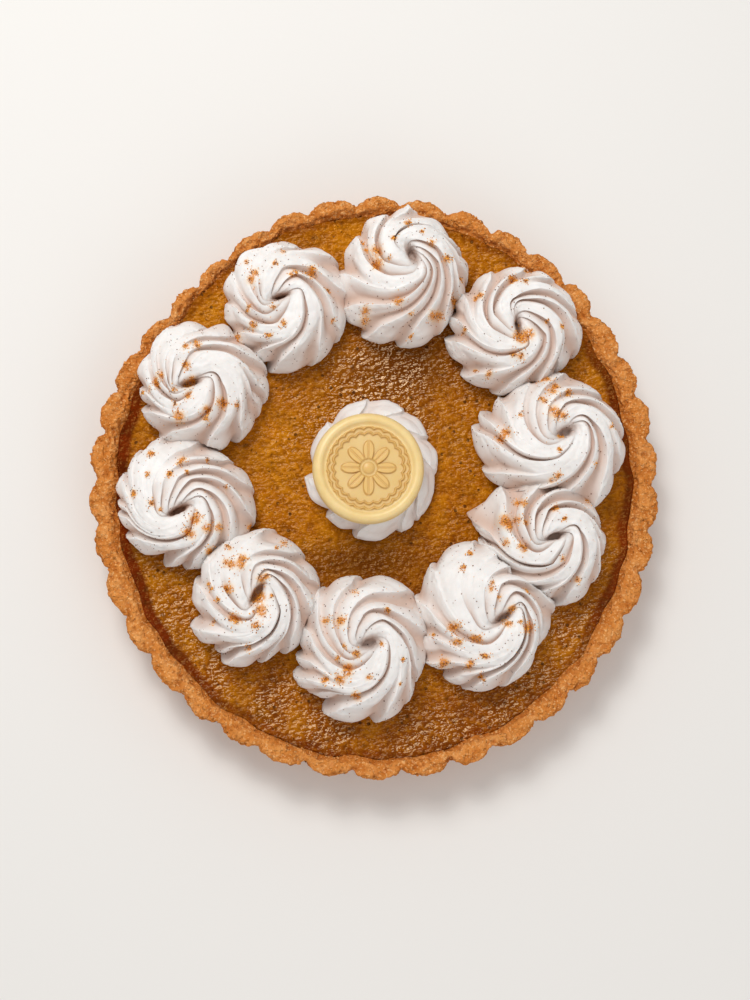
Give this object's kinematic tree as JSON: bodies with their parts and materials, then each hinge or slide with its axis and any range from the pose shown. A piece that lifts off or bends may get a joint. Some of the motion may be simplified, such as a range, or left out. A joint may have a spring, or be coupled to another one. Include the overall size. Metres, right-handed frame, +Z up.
{
  "type": "butterscotch tart",
  "caption": "Round fluted butterscotch tart with a set amber filling, a ring of piped cream swirls dusted with spice, and a moulded pale chocolate disc on a low swirl in the middle.",
  "frame": {"origin": "middle of the underside of the crust", "axes": "+Z up out of the filling, +Y towards the rosette nearest the rim, +X to its right seen from above"},
  "size_m": [0.2559, 0.2638, 0.0548],
  "materials": {
    "crust": "matt, crumbly baked shortcrust, browner at its edges",
    "filling": "soft sheen over a fine wrinkled baked skin with small dark pores",
    "cream": "satin whipped cream with fine specks of spice",
    "disc": "satin moulded white chocolate",
    "spice": "matt ground spice"
  },
  "bodies": {
    "root": {"crust": "crust", "filling": "filling", "rosette_01": "cream", "rosette_02": "cream", "rosette_03": "cream", "rosette_04": "cream", "rosette_05": "cream", "rosette_06": "cream", "rosette_07": "cream", "rosette_08": "cream", "rosette_09": "cream", "rosette_10": "cream", "centre_swirl": "cream", "moulded_disc": "disc"}
  },
  "joints": []
}
